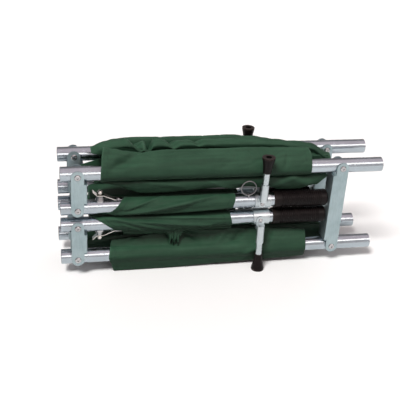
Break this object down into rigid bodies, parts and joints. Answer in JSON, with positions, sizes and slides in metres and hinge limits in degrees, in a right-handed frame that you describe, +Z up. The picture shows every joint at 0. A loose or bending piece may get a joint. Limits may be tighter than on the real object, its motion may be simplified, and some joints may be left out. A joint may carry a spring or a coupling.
{
  "type": "folding stretcher",
  "caption": "Four-fold pole stretcher folded for carrying: paired tubes with hinge links, green canvas bed, ribbed hand grips, short legs with rubber tips and folding spreader bars.",
  "frame": {"origin": "centre of the footprint on the ground under the folded stretcher, as it stands on its lower canvas and two legs", "axes": "+X along the poles towards the hand grips, -Y towards the front pole, +Z up"},
  "size_m": [0.55, 0.153, 0.219],
  "materials": {
    "canvas": "woven, matt with a slight sheen",
    "pole_tube": "drawn and polished",
    "leg_metal": "satin",
    "link_plate": "pale zinc plating",
    "fasteners": "bright zinc plating",
    "spring_steel": "nickel plated",
    "spreader_steel": "zinc plated",
    "black_rubber": "moulded, satin"
  },
  "bodies": {
    "head_mid_front": {"head_mid_tube_front": "pole_tube", "head_mid_canvas_front": "canvas"},
    "head_end_front": {"head_end_tube_front": "pole_tube", "head_end_canvas_front": "canvas", "head_grip_front": "black_rubber", "head_leg_socket_front": "leg_metal", "head_leg_front": "leg_metal", "head_leg_tip_front": "black_rubber", "head_fixings_front": "fasteners"},
    "head_link_body_front": {"head_link_front": "link_plate", "head_link_rivets_front": "fasteners"},
    "head_latch_body_front": {"head_latch_front": "spring_steel"},
    "head_spreader_body_front": {"head_spreader_front": "spreader_steel"},
    "foot_mid_front": {"foot_mid_tube_front": "pole_tube", "foot_mid_canvas_front": "canvas"},
    "foot_end_front": {"foot_end_tube_front": "pole_tube", "foot_end_canvas_front": "canvas", "foot_grip_front": "black_rubber", "foot_leg_socket_front": "leg_metal", "foot_leg_front": "leg_metal", "foot_leg_tip_front": "black_rubber", "foot_fixings_front": "fasteners"},
    "foot_link_body_front": {"foot_link_front": "link_plate", "foot_link_rivets_front": "fasteners"},
    "foot_latch_body_front": {"foot_latch_front": "spring_steel"},
    "foot_spreader_body_front": {"foot_spreader_front": "spreader_steel"},
    "centre_link_body_front": {"centre_link_front": "link_plate", "centre_link_rivets_front": "fasteners"},
    "strap_ring_body_front": {"strap_ring_front": "spring_steel"},
    "head_mid_rear": {"head_mid_tube_rear": "pole_tube", "head_mid_canvas_rear": "canvas"},
    "head_end_rear": {"head_end_tube_rear": "pole_tube", "head_end_canvas_rear": "canvas", "head_grip_rear": "black_rubber", "head_leg_socket_rear": "leg_metal", "head_leg_rear": "leg_metal", "head_leg_tip_rear": "black_rubber", "head_fixings_rear": "fasteners"},
    "head_link_body_rear": {"head_link_rear": "link_plate", "head_link_rivets_rear": "fasteners"},
    "head_latch_body_rear": {"head_latch_rear": "spring_steel"},
    "head_spreader_body_rear": {"head_spreader_rear": "spreader_steel"},
    "foot_mid_rear": {"foot_mid_tube_rear": "pole_tube", "foot_mid_canvas_rear": "canvas"},
    "foot_end_rear": {"foot_end_tube_rear": "pole_tube", "foot_end_canvas_rear": "canvas", "foot_grip_rear": "black_rubber", "foot_leg_socket_rear": "leg_metal", "foot_leg_rear": "leg_metal", "foot_leg_tip_rear": "black_rubber", "foot_fixings_rear": "fasteners"},
    "foot_link_body_rear": {"foot_link_rear": "link_plate", "foot_link_rivets_rear": "fasteners"},
    "foot_latch_body_rear": {"foot_latch_rear": "spring_steel"},
    "foot_spreader_body_rear": {"foot_spreader_rear": "spreader_steel"},
    "centre_link_body_rear": {"centre_link_rear": "link_plate", "centre_link_rivets_rear": "fasteners"},
    "strap_ring_body_rear": {"strap_ring_rear": "spring_steel"}
  },
  "joints": [
    {"name": "centre_fold_upper_front", "type": "hinge", "parent": "head_mid_front", "child": "centre_link_body_front", "pos_m": [0.20024, -0.04, 0.183], "axis": [0, -1, 0], "range_deg": [0, 90]},
    {"name": "centre_fold_lower_front", "type": "hinge", "parent": "centre_link_body_front", "child": "foot_mid_front", "pos_m": [0.20024, -0.04, 0.031], "axis": [0, -1, 0], "range_deg": [0, 90]},
    {"name": "head_fold_upper_front", "type": "hinge", "parent": "head_mid_front", "child": "head_link_body_front", "pos_m": [-0.24795, -0.04, 0.183], "axis": [0, 1, 0], "range_deg": [0, 90]},
    {"name": "foot_fold_lower_front", "type": "hinge", "parent": "foot_mid_front", "child": "foot_link_body_front", "pos_m": [-0.24795, -0.04, 0.031], "axis": [0, -1, 0], "range_deg": [0, 90]},
    {"name": "head_fold_lower_front", "type": "hinge", "parent": "head_link_body_front", "child": "head_end_front", "pos_m": [-0.24795, -0.04, 0.123], "axis": [0, 1, 0], "range_deg": [0, 90]},
    {"name": "foot_fold_upper_front", "type": "hinge", "parent": "foot_link_body_front", "child": "foot_end_front", "pos_m": [-0.24795, -0.04, 0.091], "axis": [0, -1, 0], "range_deg": [0, 90]},
    {"name": "centre_fold_upper_rear", "type": "hinge", "parent": "head_mid_rear", "child": "centre_link_body_rear", "pos_m": [0.20024, 0.04, 0.183], "axis": [0, -1, 0], "range_deg": [0, 90]},
    {"name": "head_fold_upper_rear", "type": "hinge", "parent": "head_mid_rear", "child": "head_link_body_rear", "pos_m": [-0.24795, 0.04, 0.183], "axis": [0, 1, 0], "range_deg": [0, 90]},
    {"name": "foot_fold_lower_rear", "type": "hinge", "parent": "foot_mid_rear", "child": "foot_link_body_rear", "pos_m": [-0.24795, 0.04, 0.031], "axis": [0, -1, 0], "range_deg": [0, 90]},
    {"name": "head_mid_spread", "type": "slide", "parent": "head_mid_front", "child": "head_mid_rear", "axis": [0, 1, 0], "range_m": [0, 0.4]},
    {"name": "head_end_spread", "type": "slide", "parent": "head_end_front", "child": "head_end_rear", "axis": [0, 1, 0], "range_m": [0, 0.4]},
    {"name": "foot_mid_spread", "type": "slide", "parent": "foot_mid_front", "child": "foot_mid_rear", "axis": [0, 1, 0], "range_m": [0, 0.4]},
    {"name": "foot_end_spread", "type": "slide", "parent": "foot_end_front", "child": "foot_end_rear", "axis": [0, 1, 0], "range_m": [0, 0.4]},
    {"name": "head_spreader_swing_front", "type": "hinge", "parent": "head_end_front", "child": "head_spreader_body_front", "pos_m": [0.0625, -0.017, 0.123], "axis": [0, 0, -1], "range_deg": [0, 90]},
    {"name": "head_spreader_swing_rear", "type": "hinge", "parent": "head_end_rear", "child": "head_spreader_body_rear", "pos_m": [0.0625, 0.017, 0.123], "axis": [0, 0, 1], "range_deg": [0, 90]},
    {"name": "foot_spreader_swing_front", "type": "hinge", "parent": "foot_end_front", "child": "foot_spreader_body_front", "pos_m": [0.0625, -0.017, 0.091], "axis": [0, 0, -1], "range_deg": [0, 90]},
    {"name": "foot_spreader_swing_rear", "type": "hinge", "parent": "foot_end_rear", "child": "foot_spreader_body_rear", "pos_m": [0.0625, 0.017, 0.091], "axis": [0, 0, 1], "range_deg": [0, 90]},
    {"name": "head_latch_lift_front", "type": "hinge", "parent": "head_end_front", "child": "head_latch_body_front", "pos_m": [-0.186, -0.04, 0.1367], "axis": [0, 1, 0], "range_deg": [0, 12], "stiffness_Nm_per_rad": 6},
    {"name": "head_latch_lift_rear", "type": "hinge", "parent": "head_end_rear", "child": "head_latch_body_rear", "pos_m": [-0.186, 0.04, 0.1367], "axis": [0, 1, 0], "range_deg": [0, 12], "stiffness_Nm_per_rad": 6},
    {"name": "foot_latch_lift_front", "type": "hinge", "parent": "foot_end_front", "child": "foot_latch_body_front", "pos_m": [-0.186, -0.04, 0.0773], "axis": [0, -1, 0], "range_deg": [0, 12], "stiffness_Nm_per_rad": 6},
    {"name": "foot_latch_lift_rear", "type": "hinge", "parent": "foot_end_rear", "child": "foot_latch_body_rear", "pos_m": [-0.186, 0.04, 0.0773], "axis": [0, -1, 0], "range_deg": [0, 12], "stiffness_Nm_per_rad": 6},
    {"name": "strap_ring_swing_front", "type": "hinge", "parent": "head_end_front", "child": "strap_ring_body_front", "pos_m": [0.0395, -0.046, 0.13567], "axis": [1, 0, 0], "range_deg": [0, 100]},
    {"name": "strap_ring_swing_rear", "type": "hinge", "parent": "head_end_rear", "child": "strap_ring_body_rear", "pos_m": [0.0395, 0.046, 0.13567], "axis": [-1, 0, 0], "range_deg": [0, 100]}
  ],
  "couplings": [
    {"joint": "centre_fold_lower_front", "follows": "centre_fold_upper_front", "ratio": 1},
    {"joint": "head_fold_upper_front", "follows": "centre_fold_upper_front", "ratio": 0.03},
    {"joint": "foot_fold_lower_front", "follows": "centre_fold_upper_front", "ratio": 0.03},
    {"joint": "head_fold_lower_front", "follows": "centre_fold_upper_front", "ratio": 0.03},
    {"joint": "foot_fold_upper_front", "follows": "centre_fold_upper_front", "ratio": 0.03},
    {"joint": "centre_fold_upper_rear", "follows": "centre_fold_upper_front", "ratio": 1},
    {"joint": "head_fold_upper_rear", "follows": "centre_fold_upper_front", "ratio": 0.03},
    {"joint": "foot_fold_lower_rear", "follows": "centre_fold_upper_front", "ratio": 0.03},
    {"joint": "head_end_spread", "follows": "head_mid_spread", "ratio": 1},
    {"joint": "foot_mid_spread", "follows": "head_mid_spread", "ratio": 1},
    {"joint": "foot_end_spread", "follows": "head_mid_spread", "ratio": 1},
    {"joint": "head_spreader_swing_front", "follows": "head_mid_spread", "rad_per_m": 3.7309},
    {"joint": "head_spreader_swing_rear", "follows": "head_mid_spread", "rad_per_m": 3.7309},
    {"joint": "foot_spreader_swing_front", "follows": "head_mid_spread", "rad_per_m": 3.7309},
    {"joint": "foot_spreader_swing_rear", "follows": "head_mid_spread", "rad_per_m": 3.7309}
  ]
}
